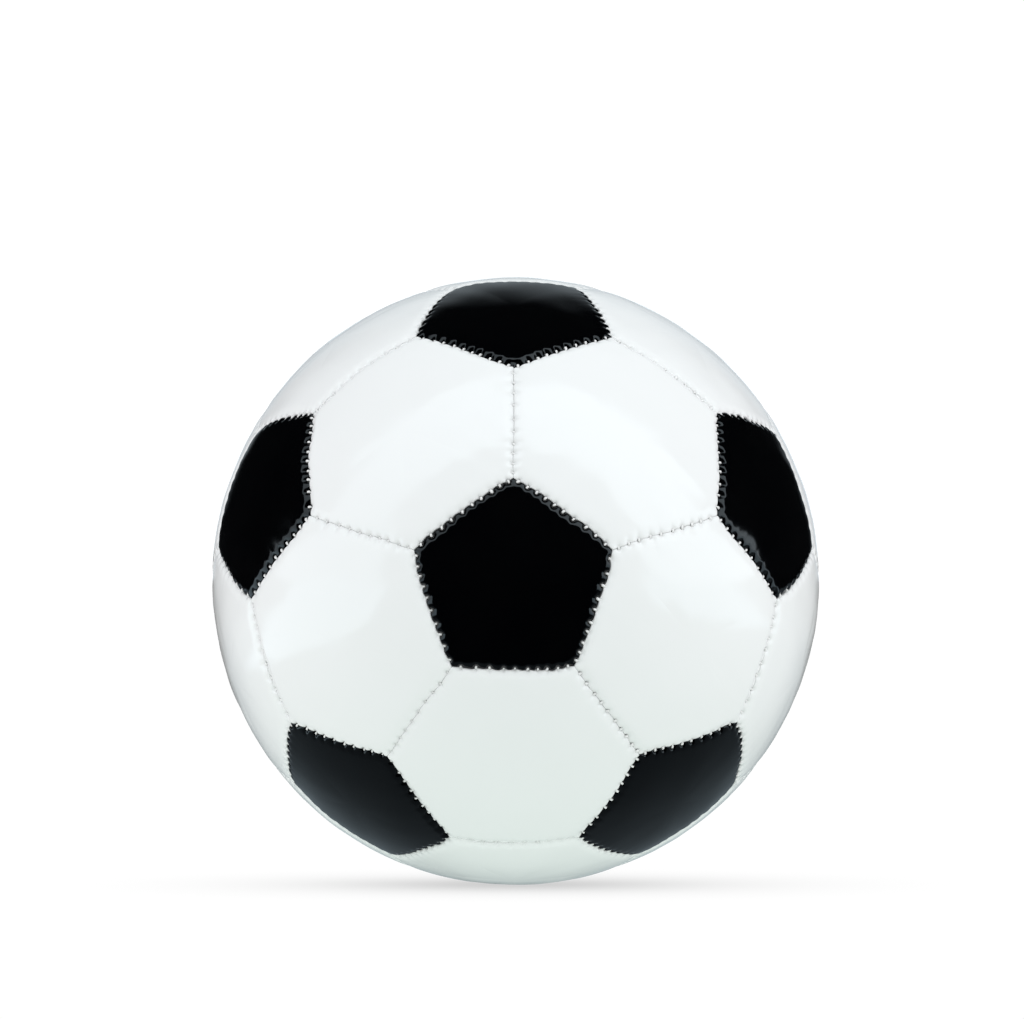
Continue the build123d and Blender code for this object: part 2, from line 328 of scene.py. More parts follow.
    def make_seam(self, panel: Panel, first: int, second: int, rng: np.random.Generator) -> Seam:
        """One seam of a panel, with stitches whose spacing varies and closes up towards one end.

        Args:
            panel: one of the two panels that it joins, the black one if there is one.
            first: the number of its first corner.
            second: the number of its last corner.
            rng: the source of its irregularity.

        Returns:
            The seam.
        """
        black = panel.kind is PanelKind.PENTAGON
        start, end = self.corners[first], self.corners[second]
        normal = unit(np.cross(start, end))
        along = np.cross(normal, start)
        length = self.radius * math.acos(float(start @ end))
        gaps = 1.0 + self.pitch_spread * rng.standard_normal(self.stitches_per_seam + 1)
        gaps[[0, -1]] *= self.end_gap
        crowding = self.crowding if rng.integers(2) else self.crowding[::-1]
        gaps *= np.linspace(*crowding, len(gaps))
        stitches = length * np.cumsum(gaps)[:-1] / gaps.sum()
        pulls = rng.uniform(*self.pull_range, self.stitches_per_seam)
        counts, largest = np.array(self.line_waves).T
        amounts = largest * rng.uniform(-1, 1, len(counts))
        waves = np.stack([amounts, counts, rng.uniform(0, 1, len(counts))], axis=1)
        bulge = -math.copysign(self.black_bulge, float(normal @ panel.middle)) if black else 0.0
        jog = -math.copysign(self.jog, bulge if black else amounts[0])
        crispness = 2.0 ** rng.uniform(*self.crispness_powers)
        names = {other.name for other in self.panels if {first, second} <= set(other.corners)}
        if any(names == set(pair) for pair in self.slack_seams):
            crispness = self.slack_crispness
        return Seam(
            start, along, normal, length, stitches, pulls, waves, bulge, jog, crispness, black
        )


# ----------------------------------------------------------------------------------------- skins
@dataclass(frozen=True)
class Roll:
    """How a sheet turns down into a seam.

    The slope starts at the roll's width, softly, the sheet's last stretch is a quarter circle, the
    lip, and it swells by the scallop between stitches. It may be deep only as far in as the edge,
    where its pad begins. A crease of a given depth runs into the panel from each stitch.
    """

    width: float
    slope: float
    softness: float
    lip: float
    scallop: float
    edge: float
    crease: float


@dataclass
class PanelSkins:
    """The 32 skins: glossy sheets that roll into their seams and are pulled down at each stitch."""

    layout: BallLayout
    inner_radius: float
    thickness: float = 1.0
    black_roll: Roll = Roll(
        2.0, slope=0.55, softness=0.15, lip=0.38, scallop=0.04, edge=0.15, crease=0.05
    )
    white_roll: Roll = Roll(
        2.5, slope=0.36, softness=0.60, lip=0.28, scallop=0.11, edge=0.9, crease=0.04
    )
    scallop_place: tuple[float, float] = (0.6, 0.8)  # from the seam, and its width
    roll_change: float = 0.20  # of a roll's width along its seam, as a share
    roll_waves: float = 1.3  # of that change, along a seam
    wobble: float = 0.26  # the roll reaches this much further in at a stitch
    tug: tuple[float, float, float] = (0.29, 1.00, 1.55)  # of a stitch: depth, along and across
    hole: tuple[float, float, float] = (1.45, 0.50, 0.74)  # of its needle: depth, along and across
    hole_sides: tuple[float, float] = (0.75, 0.5)  # a hole's share, and more or less on one side
    crease: tuple[float, float] = (0.50, 2.8)  # from it: width and reach
    crease_growth: tuple[float, float] = (0.12, 1.2)  # wider by so much a millimetre, and its start
    reach: tuple[float, float, float] = (5.0, 4.0, 1.0)  # of tightness, wander, and past a corner
    depths: tuple[float, float] = (0.9, 2.6)  # the most over a pad, and in a seam
    corner_rounding: float = 0.55
    clearance: float = 0.02  # of a sheet's foot over the inside of the cover
    valve_hole_radius: float = 5.75
    hole_bevel: tuple[float, float] = (0.5, 0.25)  # width and depth of the hole's edge
    hole_rows: tuple[float, float] = (0.02, 0.05)  # shares that rows keep from it, above and below
    # Waves of the sheets all over the ball, each a count and a steepness.
    wave_set: tuple[tuple[float, float], ...] = (
        (3.0, 0.010), (4.5, 0.012), (6.5, 0.014), (9.0, 0.017), (13.0, 0.020), (19.0, 0.018),
        (27.0, 0.012),
    )
    seed: int = 11

    # How far the rows of points lie from the seam, outside and under the sheet, in millimetres.
    TOP_ROWS = (
        0.0, 0.10, 0.22, 0.38, 0.56, 0.76, 0.98, 1.22, 1.48, 1.76, 2.06, 2.38, 2.70, 3.02, 3.36, 3.8,
        4.4, 5.4, 7.0, 9.5, 13.0, 17.5, 23.5,
    )
    UNDER_ROWS = (1.0, 2.4, 4.5, 9.0, 17.0)

    def build(self, finishes: dict[PanelKind, bpy.types.Material]) -> list[bpy.types.Object]:
        """Build and dress every skin.

        Args:
            finishes: the material of each kind of panel.

        Returns:
            The pieces, one for each panel.
        """
        pieces = []
        for panel in self.layout.panels:
            points, faces, depth = self.tray(panel)
            piece = make_object(f"skin_{panel.name}", points, faces)
            add_attribute(piece, "seam_distance", depth)
            piece.data.materials.append(finishes[panel.kind])
            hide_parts(panel.name)
            pieces.append(piece)
        faces_made = sum(len(piece.data.polygons) for piece in pieces)
        log.info("skins: %d pieces, %d faces", len(pieces), faces_made)
        return pieces

    def rim(self, panel: Panel) -> np.ndarray:
        """Directions along a panel's seams, one for each column.

        Each is the cosine of the way along times a seam's start, plus its sine times its direction.

        Args:
            panel: the panel.

        Returns:
            The directions, from corner to corner in turn.
        """
        rim = []
        for first, second in zip(panel.corners, panel.corners[1:] + panel.corners[:1]):
            seam = self.layout.seams[frozenset((first, second))]
            places = seam.columns()
            if min(first, second) != first:
                places = np.concatenate([[seam.length], places[:0:-1]])
            angle = (places / self.layout.radius)[:, None]
            rim.append(np.cos(angle) * seam.start + np.sin(angle) * seam.along)
        return np.concatenate(rim)

    def inward(self, panel: Panel, rim: np.ndarray, shares: np.ndarray) -> np.ndarray:
        """Directions from the rim towards the middle: rim and middle mixed by share, then unit.

        Args:
            panel: the panel.
            rim: directions along its seams.
            shares: how far each row lies from the rim towards the middle.

        Returns:
            Directions, by row and column.
        """
        mixed = rim[None] * (1 - shares)[:, None, None] + panel.middle * shares[:, None, None]
        return unit(mixed)

    def height(self, panel: Panel, aims: np.ndarray) -> tuple[np.ndarray, np.ndarray, np.ndarray]:
        """The outer surface of a panel at some directions.

        The height is a slope that starts at the roll's width from the seam, a quarter circle at the
        seam, a swelling between stitches, a tug and a hole at each stitch, a crease that fades into
        the panel from it, and waves. Distances from the sides are joined by a soft minimum, minus
        log of the sum of e to minus the distances, so that the slope turns smoothly at the corners.

        Args:
            panel: the panel.
            aims: directions, in the last axis.

        Returns:
            Heights over the ball's radius and distances from the nearest seam, in millimetres, and
            the same directions moved sideways with the seam lines near them.
        """
        radius = self.layout.radius
        roll = self.roll(panel)
        relief, shift, crispness = (np.zeros(aims.shape[:-1]) for _ in range(3))
        distances = []
        moved = aims.copy()
        for first, second in zip(panel.corners, panel.corners[1:] + panel.corners[:1]):
            seam = self.layout.seams[frozenset((first, second))]
            side = math.copysign(1.0, float(seam.normal @ panel.middle))
            # s runs into the panel from the seam, and t along the seam.
            s = radius * np.arcsin(np.clip(side * (aims @ seam.normal), -1, 1))
            t = radius * np.arctan2(aims @ seam.along, aims @ seam.start)
            beyond = np.maximum(np.maximum(-t, t - seam.length), 0.0)
            gap = np.abs(t[..., None] - seam.stitches)
            which = gap.argmin(axis=-1)
            nearest = np.take_along_axis(gap, which[..., None], axis=-1)[..., 0]
            pull = seam.pulls[which]
            pitch = seam.length / len(seam.stitches)
            between = 0.5 - 0.5 * np.cos(2 * np.pi * np.clip(nearest / pitch, 0, 0.5))
            tight, aside, past = self.reach
            fade = bell(beyond, past)
            tug, hole, crease = self.tug, self.hole, self.crease
            place, width = self.scallop_place
            relief += fade * roll.scallop * between * bell(s - place, width)
            relief -= fade * pull * tug[0] * bell(nearest, tug[1]) * bell(s, tug[2])
            share, more = self.hole_sides
            one_side = share + more * side * math.copysign(1.0, seam.waves[0, 0])
            relief -= fade * one_side * hole[0] * bell(nearest, hole[1]) * bell(s, hole[2])
            wider, begin = self.crease_growth
            line = bell(nearest, crease[0] * (1 + wider * np.maximum(s, 0)))
            deep = fade * pull * one_side * roll.crease
            relief -= deep * line * np.exp(-s / crease[1]) * ease(s / begin)
            # The rolls on a seam's two sides change half a wave apart.
            change = np.sin(
                2 * np.pi * (self.roll_waves * t / seam.length + seam.waves[1, 2] + 0.25 * side)
            )
            near = fade * bell(s, tight)
            shift += near * (
                self.roll_change * roll.width * change + self.wobble * pull * (0.5 - between)
            )
            crispness += near * math.log(seam.crispness)
            lateral = seam.wander(t) * np.exp(-np.maximum(s, 0) / aside) * fade / radius
            moved = moved + lateral[..., None] * seam.normal
            distances.append(s)
        distances = np.stack(distances)
        nearest_side = distances.min(axis=0)
        k = self.corner_rounding
        soft = -k * np.log(np.exp(-(distances - nearest_side) / k).sum(axis=0)) + nearest_side
        softness = roll.softness * np.exp(-crispness)
        rise = (soft - roll.width - shift) / softness
        slope = -roll.slope * np.exp(0.5 * crispness) * softness * np.logaddexp(0.0, -rise)
        lip = np.clip(1 - nearest_side / roll.lip, 0.0, 1.0)
        turn = -roll.lip * (1 - np.sqrt(1 - lip * lip))
        moved = unit(moved)
        height = slope + turn + relief + self.waves(aims)
        return self.shallow(panel, height, moved), nearest_side, moved

    def shallow(self, panel: Panel, height: np.ndarray, aims: np.ndarray) -> np.ndarray:
        """Keep the sheet over the pad below it.

        The depth is limited softly: it is divided by the sixth root of one plus the sixth power of
        the depth over its limit, which is small over the pad and larger in the seam.

        Args:
            panel: the panel.
            height: heights over the ball's radius, in millimetres.
            aims: the directions that they belong to.

        Returns:
            The limited heights.
        """
        ends = zip(panel.corners, panel.corners[1:] + panel.corners[:1])
        normals = np.array([self.layout.seams[frozenset(pair)].normal for pair in ends])
        normals *= np.sign(normals @ panel.middle)[:, None]
        clear = self.layout.radius * np.arcsin(np.clip(aims @ normals.T, -1, 1)).min(axis=-1)
        over, beside = self.depths
        limit = over + (beside - over) * (1 - ease(clear - self.roll(panel).edge))
        return height / (1 + (np.maximum(-height, 0) / limit) ** 6) ** (1 / 6)

    def roll(self, panel: Panel) -> Roll:
        """The roll of a panel's sheet."""
        return self.black_roll if panel.kind is PanelKind.PENTAGON else self.white_roll

    def waves(self, aims: np.ndarray) -> np.ndarray:
        """Waves over the ball: sines along seeded axes times cosines along others.

        A wave's height is its steepness times the ball's radius over twice its count.

        Args:
            aims: directions, in the last axis.

        Returns:
            Heights in millimetres.
        """
        rng = np.random.default_rng(self.seed)
        total = np.zeros(aims.shape[:-1])
        for count, steepness in self.wave_set:
            first, second = unit(rng.standard_normal((2, 3)))
            phases = rng.uniform(0, 2 * np.pi, 2)
            height = steepness * self.layout.radius / (2 * count)
            total += height * np.sin(2 * count * (aims @ first) + phases[0]) * np.cos(
                2 * count * (aims @ second) + phases[1]
            )
        return total

    def tray(self, panel: Panel) -> tuple[np.ndarray, np.ndarray, np.ndarray]:
        """The whole closed sheet of a panel.

        Rows of points run from the middle of the outside to the seam, down the seam to the inside of
        the cover, and back under the sheet to the middle, one column for each point of the rim.

        Args:
            panel: the panel.

        Returns:
            Points in millimetres, faces as rows of four, and each point's distance from the seam.
        """
        radius = self.layout.radius
        rim = self.rim(panel)
        apothem = radius * math.asin(
            abs(float(self.layout.seams[frozenset(panel.corners[:2])].normal @ panel.middle))
        )
        has_valve = panel.name == "valve_panel"
        top = np.array(self.TOP_ROWS) / apothem
        under = np.array(self.UNDER_ROWS) / apothem
        if has_valve:
            hole = 1 - self.valve_hole_radius / apothem
            above, below = self.hole_rows
            top = np.append(top, [hole - above, hole])
            under = under[under < hole - below]

        aims = self.inward(panel, rim, top)
        height, depth, moved = self.height(panel, aims)
        outside = moved * (radius + height)[..., None]
        under_aims = self.inward(panel, rim, under)
        under_height, under_depth, under_moved = self.height(panel, under_aims)
        ceiling = radius + np.minimum(under_height, 0.0) - self.thickness
        inside = under_moved * ceiling[..., None]
        base = self.inner_radius + self.clearance
        skirt_base = moved[0] * base
        middle_of_skirt = 0.5 * (outside[0] + skirt_base)
        foot = under_moved[0] * base

        if has_valve:
            outside = self.hole_edge(panel, outside)
        rows = [*outside[::-1], middle_of_skirt, skirt_base, foot, *inside]
        on_seam = 0 * depth[0]
        depths = [*depth[::-1], on_seam, on_seam, under_depth[0], *under_depth]
        if has_valve:
            lowered = (radius - self.thickness) / np.linalg.norm(outside[-1], axis=1)
            rows.append(outside[-1] * lowered[:, None])
            depths.append(depth[-1])
        points = np.concatenate(rows)
        columns, count = len(rim), len(rows)
        faces = self.strips(columns, count, closed=has_valve)
        if not has_valve:
            centres = np.array(
                [
                    panel.middle * (radius + float(self.waves(panel.middle[None])[0])),
                    panel.middle * (radius - self.thickness),
                ]
            )
            start = len(points)
            points = np.concatenate([points, centres])
            depths.append(np.full(2, apothem))
            faces = np.concatenate([faces, self.caps(columns, count, start)])
        return points, faces, np.concatenate(depths)

    def hole_edge(self, panel: Panel, outside: np.ndarray) -> np.ndarray:
        """Make the last rows of the valve's panel a round hole.

        Each point is moved on to a circle: the unit vector across the middle times the circle's
        radius, at the height of the sphere there, the last row sunk by the bevel.

        Args:
            panel: the valve's panel.
            outside: its outer rows of points, in millimetres.

        Returns:
            The rows with the last two on their circles.
        """
        radius = self.layout.radius
        made = outside.copy()
        width, depth = self.hole_bevel
        for row, size in ((-2, self.valve_hole_radius + width), (-1, self.valve_hole_radius)):
            across = made[row] - panel.middle * (made[row] @ panel.middle)[:, None]
            ring = unit(across) * size
            lift = math.sqrt(radius**2 - size**2) + float(self.waves(panel.middle[None])[0])
            made[row] = ring + panel.middle * (lift - (depth if row == -1 else 0.0))
        return made

    def strips(self, columns: int, rows: int, closed: bool) -> np.ndarray:
        """Quads between each row of points and the next.

        Args:
            columns: points in a row.
            rows: rows of points.
            closed: whether the last row joins the first.

        Returns:
            Faces as rows of four.
        """
        j = np.arange(columns)
        following = (j + 1) % columns
        made = []
        for i in range(rows if closed else rows - 1):
            a, b = i * columns, ((i + 1) % rows) * columns
            made.append(np.stack([a + j, b + j, b + following, a + following], axis=1))
        return np.concatenate(made)

    def caps(self, columns: int, rows: int, centre: int) -> np.ndarray:
        """Triangles that close the first row around one centre and the last around the next.

        Args:
            columns: points in a row.
            rows: rows of points.
            centre: the number of the first centre's point.

        Returns:
            Faces as rows of four, whose last corner is repeated.
        """
        j = np.arange(columns)
        following = (j + 1) % columns
        last = (rows - 1) * columns
        first_cap = np.stack([np.full(columns, centre), j, following, following], axis=1)
        last_cap = np.stack(
            [np.full(columns, centre + 1), last + following, last + j, last + j], axis=1
        )
        return np.concatenate([first_cap, last_cap])


# -------------------------------------------------------------------------------------- stitches
@dataclass
class Stitches:
    """The thread where it crosses each seam: a short bridge of twisted thread at every stitch."""

    layout: BallLayout
    sink: tuple[float, float] = (1.76, 1.68)  # from the ball's surface to the ends of a bridge
    half_span: float = 0.88
    arch: float = 0.50  # the bridge's middle stands this much over its ends
    thickness: float = 0.47  # radius of the thread
    lean: tuple[float, float] = (0.25, 0.35)  # bridges lie this far over to one side
    uneven: tuple[float, float] = (0.20, 0.12)  # spread of the height from seam to seam, and in one
    skew: tuple[float, float] = (0.25, 0.18)  # from straight across: usual and spread
    size_spread: float = 0.10
    end: float = 0.98  # of the half span, where the tube is closed
    around: int = 6  # corners of the tube, which its end faces are made for
    along: int = 6
    seed: int = 23

    def build(self, finish: bpy.types.Material) -> list[bpy.types.Object]:
        """Build the bridges of the black seams and those of the white ones.

        Args:
            finish: the thread's material.

        Returns:
            The two pieces.
        """
        pieces = []
        for name, node, black in (
            ("stitches_black_seams", "pentagon_seam_threads", True),
            ("stitches_white_seams", "hexagon_seam_threads", False),
        ):
            points, faces = self.bridges(black)
            piece = make_object(name, points, faces)
            piece.data.materials.append(finish)
            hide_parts(node)
            pieces.append(piece)
        log.info("stitches: %d faces", sum(len(p.data.polygons) for p in pieces))
        return pieces

    def bridges(self, black: bool) -> tuple[np.ndarray, np.ndarray]:
        """All the bridges along one kind of seam.

        A bridge is a tube along a parabola across the seam, whose radius swells in its middle by the
        square root of one less the cube of the place along it, so that its ends close.

        Args:
            black: whether the seams are those around the black panels.

        Returns:
            Points in millimetres and faces as rows of four.
        """
        rng = np.random.default_rng(self.seed + int(black))
        radius = self.layout.radius
        places, acrosses, alongs, lifts = [], [], [], []
        for seam in self.layout.seams.values():
            if seam.black != black:
                continue
            angle = seam.stitches / radius
            aim = np.cos(angle)[:, None] * seam.start + np.sin(angle)[:, None] * seam.along
            tangent = np.cross(seam.normal, aim)
            lean = math.copysign(self.lean[black], -seam.bulge if black else seam.waves[0, 0])
            aim = unit(aim + ((seam.wander(seam.stitches) + lean) / radius)[:, None] * seam.normal)
            places.append(aim)
            lifts.append(rng.normal(rng.normal(0.0, self.uneven[0]), self.uneven[1], len(aim)))
            alongs.append(tangent)
            acrosses.append(np.broadcast_to(seam.normal, aim.shape))
        out, side, run = np.concatenate(places), np.concatenate(acrosses), np.concatenate(alongs)
        count = len(out)
        skew = rng.normal(*self.skew, count)[:, None]
        side = unit(side + skew * run)
        run = np.cross(side, out)
        size = rng.normal(1.0, self.size_spread, count)[:, None, None]
        lift = np.concatenate(lifts)[:, None, None]

        x = np.linspace(-self.end, self.end, self.along)
        turn = np.arange(self.around) / self.around * 2 * np.pi
        line = radius - self.sink[black] + self.arch * (1 - x * x)
        swell = self.thickness * np.sqrt(1 - np.abs(x) ** 3)
        ring_run = swell[:, None] * np.cos(turn)
        ring_out = line[:, None] + swell[:, None] * np.sin(turn)
        ring_side = self.half_span * x[:, None] * np.ones(self.around)
        grid = [part.ravel()[None, :, None] for part in (ring_run, ring_side, ring_out - radius)]
        points = out[:, None] * radius + size * (
            run[:, None] * grid[0] + side[:, None] * grid[1] + out[:, None] * (grid[2] + lift)
        )
        per_bridge = self.along * self.around
        i, j = np.meshgrid(np.arange(self.along - 1), np.arange(self.around), indexing="ij")
        k = (j + 1) % self.around
        quads = np.stack(
            [
                i * self.around + j,
                (i + 1) * self.around + j,
                (i + 1) * self.around + k,
                i * self.around + k,
            ],
            axis=-1,
        ).reshape(-1, 4)
        last = (self.along - 1) * self.around
        end = np.array([[0, 1, 2, 3], [0, 3, 4, 5]])
        one = np.concatenate([quads, end, last + end[:, ::-1]])
        faces = (one[None] + per_bridge * np.arange(count)[:, None, None]).reshape(-1, 4)
        return points.reshape(-1, 3), faces


# ------------------------------------------------------------------------------------- materials
@dataclass(frozen=True)
class Fade:
    """A change along a value: from low at start to high at end, eased or straight."""

    start: float
    end: float
    low: float = 0.0
    high: float = 1.0
    straight: bool = False


class NodeSheet:
    """A node tree with short ways to add nodes and link them."""

    def __init__(self, tree: bpy.types.NodeTree) -> None:
        """Keep the tree."""
        self.tree = tree

    def add(self, kind: str, **settings: object) -> bpy.types.Node:
        """Add a node and set its properties.

        Args:
            kind: the node's type.
            settings: its properties by name.

        Returns:
            The node.
        """
        node = self.tree.nodes.new(kind)
        for key, value in settings.items():
            setattr(node, key, value)
        return node

    def link(self, source: bpy.types.NodeSocket, target: bpy.types.NodeSocket) -> None:
        """Link an output to an input."""
        self.tree.links.new(source, target)

    def feed(self, socket: bpy.types.NodeSocket, value: object) -> None:
        """Give an input its value.

        Args:
            socket: the input.
            value: an output to link, a number, or a colour, which gets an alpha of one.
        """
        if isinstance(value, bpy.types.NodeSocket):
            self.link(value, socket)
        elif isinstance(value, tuple):
            socket.default_value = (*value, 1.0)
        else:
            socket.default_value = value

    def math(self, operation: str, *values: object) -> bpy.types.NodeSocket:
        """A Math node.

        Args:
            operation: what it works out.
            values: the one or two values, each an output or a number.

        Returns:
            Its result.
        """
        node = self.add("ShaderNodeMath", operation=operation)
        for socket, value in zip(node.inputs, values):
            self.feed(socket, value)
        return node.outputs[0]

    def product(self, *values: object) -> bpy.types.NodeSocket:
        """All the values multiplied together."""
        return reduce(lambda first, second: self.math("MULTIPLY", first, second), values)

    def total(self, *values: object) -> bpy.types.NodeSocket:
        """All the values added together."""
        return reduce(lambda first, second: self.math("ADD", first, second), values)

    def axes(self, output: str) -> tuple[bpy.types.NodeSocket, ...]:
        """A Texture Coordinate node taken apart.

        Args:
            output: which of its outputs to use.

        Returns:
            The output, then its X, Y and Z.
        """
        place = self.add("ShaderNodeTexCoord")
        split = self.add("ShaderNodeSeparateXYZ")
        self.link(place.outputs[output], split.inputs[0])
        return (place.outputs[output], *split.outputs)

    def ramp(self, value: bpy.types.NodeSocket, fade: Fade) -> bpy.types.NodeSocket:
        """A Map Range node.

        Args:
            value: what the fade runs along.
            fade: the fade.

        Returns:
            The faded value.
        """
        kind = "LINEAR" if fade.straight else "SMOOTHSTEP"
        node = self.add("ShaderNodeMapRange", interpolation_type=kind)
        for label, number in (
            ("From Min", fade.start),
            ("From Max", fade.end),
            ("To Min", fade.low),
            ("To Max", fade.high),
        ):
            node.inputs[label].default_value = number
        self.link(value, node.inputs["Value"])
        return node.outputs["Result"]

    def blend(
        self, share: bpy.types.NodeSocket, first: tuple[float, ...], second: tuple[float, ...]
    ) -> bpy.types.NodeSocket:
        """A colour between two.

        Args:
            share: how far it lies from the first to the second.
            first: the colour at 0.
            second: the colour at 1.

        Returns:
            The colour.
        """
        node = self.add("ShaderNodeMix", data_type="RGBA")
        for socket, value in zip((node.inputs[0], *node.inputs[6:8]), (share, first, second)):
            self.feed(socket, value)
        return node.outputs[2]

    def glowing(self, kind: str, colour: object, strength: object) -> bpy.types.NodeSocket:
        """A shader that gives light.

        Args:
            kind: the node's type.
            colour: its colour, or an output for it.
            strength: its strength, or an output for it.

        Returns:
            The shader's output.
        """
        node = self.add(kind)
        self.feed(node.inputs["Color"], colour)
        self.feed(node.inputs["Strength"], strength)
        return node.outputs[0]

    def emission(self, colour: object, strength: object) -> bpy.types.NodeSocket:
        """A surface that gives light."""
        return self.glowing("ShaderNodeEmission", colour, strength)

    def background(self, colour: object, strength: object) -> bpy.types.NodeSocket:
        """A sky that gives light."""
        return self.glowing("ShaderNodeBackground", colour, strength)

    def by_ray(
        self,
        seen: bpy.types.NodeSocket,
        mirrored: bpy.types.NodeSocket,
        lit: bpy.types.NodeSocket,
        output: str,
    ) -> None:
        """Output one of three shaders by the kind of ray.

        Args:
            seen: the shader for the camera.
            mirrored: the shader for mirrored rays.
            lit: the shader for all others.
            output: the type of the output node.
        """
        path = self.add("ShaderNodeLightPath")
        inner, outer = self.add("ShaderNodeMixShader"), self.add("ShaderNodeMixShader")
        self.link(path.outputs["Is Glossy Ray"], inner.inputs[0])
        self.link(lit, inner.inputs[1])
        self.link(mirrored, inner.inputs[2])
        self.link(path.outputs["Is Camera Ray"], outer.inputs[0])
        self.link(inner.outputs[0], outer.inputs[1])
        self.link(seen, outer.inputs[2])
        self.link(outer.outputs[0], self.add(output).inputs["Surface"])


def new_group(
    name: str, inputs: dict[str, float], outputs: tuple[str, ...]
) -> tuple[bpy.types.NodeTree, NodeSheet]:
    """Make an empty shader node group of numbers.

    Args:
        name: the group's name.
        inputs: its inputs, with their usual values.
        outputs: its outputs.

    Returns:
        The group and its node sheet.
    """
    tree = bpy.data.node_groups.new(name, "ShaderNodeTree")
    for label, value in inputs.items():
        socket = tree.interface.new_socket(label, in_out="INPUT", socket_type="NodeSocketFloat")
        socket.default_value = value
    for label in outputs:
        tree.interface.new_socket(label, in_out="OUTPUT", socket_type="NodeSocketFloat")
    return tree, NodeSheet(tree)


def make_grain_group() -> bpy.types.NodeTree:
    """Fine pressed grain and slow waviness of a calendered sheet.

    The height, in millimetres, is fine noise times the grain's depth plus slow noise times the
    waves' depth, and the mask is the slow noise.

    Returns:
        The node group.
    """
    tree, sheet = new_group(
        "sheet_grain",
        {"Grain Scale": 900.0, "Grain Depth": 0.01, "Wave Scale": 60.0, "Wave Depth": 0.04},
        ("Height", "Mask"),
    )
    given = sheet.add("NodeGroupInput")
    made = sheet.add("NodeGroupOutput")
    place = sheet.add("ShaderNodeTexCoord")
    heights = []
    for layer, detail in (("Grain", 3.0), ("Wave", 2.0)):
        noise = sheet.add("ShaderNodeTexNoise", noise_dimensions="3D")
        noise.inputs["Detail"].default_value = detail
        sheet.link(place.outputs["Object"], noise.inputs["Vector"])
        sheet.link(given.outputs[f"{layer} Scale"], noise.inputs["Scale"])
        heights.append(sheet.product(noise.outputs["Fac"], given.outputs[f"{layer} Depth"]))
    sheet.link(sheet.total(*heights), made.inputs["Height"])
    sheet.link(noise.outputs["Fac"], made.inputs["Mask"])
    return tree


def new_material(
    name: str, grain: bpy.types.NodeTree, settings: dict[str, float]
) -> tuple[bpy.types.Material, NodeSheet, bpy.types.Node, bpy.types.NodeSocket]:
    """A material whose relief is the shared grain.

    Args:
        name: the material's name.
        grain: the shared grain group.
        settings: the group's inputs that have values of their own here.

    Returns:
        The material, its node sheet, its Principled shader and the grain's mask.
    """
    material = bpy.data.materials.new(name)
    material.use_nodes = True
    sheet = NodeSheet(material.node_tree)
    shader = material.node_tree.nodes["Principled BSDF"]
    group = sheet.add("ShaderNodeGroup", node_tree=grain)
    for label, value in settings.items():
        group.inputs[label].default_value = value
    bump = sheet.add("ShaderNodeBump")
    bump.inputs["Strength"].default_value = 1.0
    bump.inputs["Distance"].default_value = MM
    sheet.link(group.outputs["Height"], bump.inputs["Height"])
    sheet.link(bump.outputs["Normal"], shader.inputs["Normal"])
    return material, sheet, shader, group.outputs["Mask"]


@dataclass(frozen=True)
class GlossySheet:
    """Glossy PVC sheet: a clear colour, with painted shade that darkens it slightly towards the seams.
    """

    name: str
    colour: tuple[float, float, float]
    # painted shade: the darker colour that the sheet takes at its seams, where shade falls in the
    # crease
    seam_shade_colour: tuple[float, float, float]
    roughness: float
    specular: float = 0.5
    grain_depth: float = 0.006
    wave_depth: float = 0.02
    shade_at_seam: Fade = Fade(0.0, 1.6, 1.0, 0.0)  # of the painted seam shade, in millimetres from the seam
    mottle: tuple[float, float] = (0.3, 0.7)  # of the mask, where the roughness changes
    mottle_change: tuple[float, float] = (0.8, 1.25)  # of the roughness, there

    def make(self, grain: bpy.types.NodeTree) -> bpy.types.Material:
        """Make the material.

        Args:
            grain: the shared grain group.

        Returns:
            The material.
        """
        settings = {"Grain Depth": self.grain_depth, "Wave Depth": self.wave_depth}
        material, sheet, shader, mask = new_material(self.name, grain, settings)
        seam = sheet.add("ShaderNodeAttribute", attribute_name="seam_distance")
        # Painted shade: within 1.6 mm of the seam, the base colour darkens towards the seam's shade
        # colour.
        near = sheet.ramp(seam.outputs["Fac"], self.shade_at_seam)
        sheet.link(sheet.blend(near, self.colour, self.seam_shade_colour), shader.inputs["Base Color"])
        low, high = (self.roughness * change for change in self.mottle_change)
        rough = sheet.ramp(mask, Fade(*self.mottle, low, high, straight=True))
        sheet.link(rough, shader.inputs["Roughness"])
        shader.inputs["Specular IOR Level"].default_value = self.specular
        return material


@dataclass(frozen=True)
class TwistedThread:
    """Waxed white thread, with a fine twist."""

    name: str = "waxed_thread"
    colour: tuple[float, float, float] = (0.86, 0.86, 0.85)
    roughness: float = 0.35
    twist_scale: float = 2600.0
    twist_depth: float = 0.08

    def make(self, grain: bpy.types.NodeTree) -> bpy.types.Material:
        """Make the material: coarse grain stands for the twist.

        Args:
            grain: the shared grain group.

        Returns:
            The material.
        """
        settings = {
            "Grain Scale": self.twist_scale,
            "Grain Depth": self.twist_depth,
            "Wave Depth": 0.0,
        }
        material, sheet, shader, _ = new_material(self.name, grain, settings)
        sheet.feed(shader.inputs["Base Color"], self.colour)
        shader.inputs["Roughness"].default_value = self.roughness
        return material


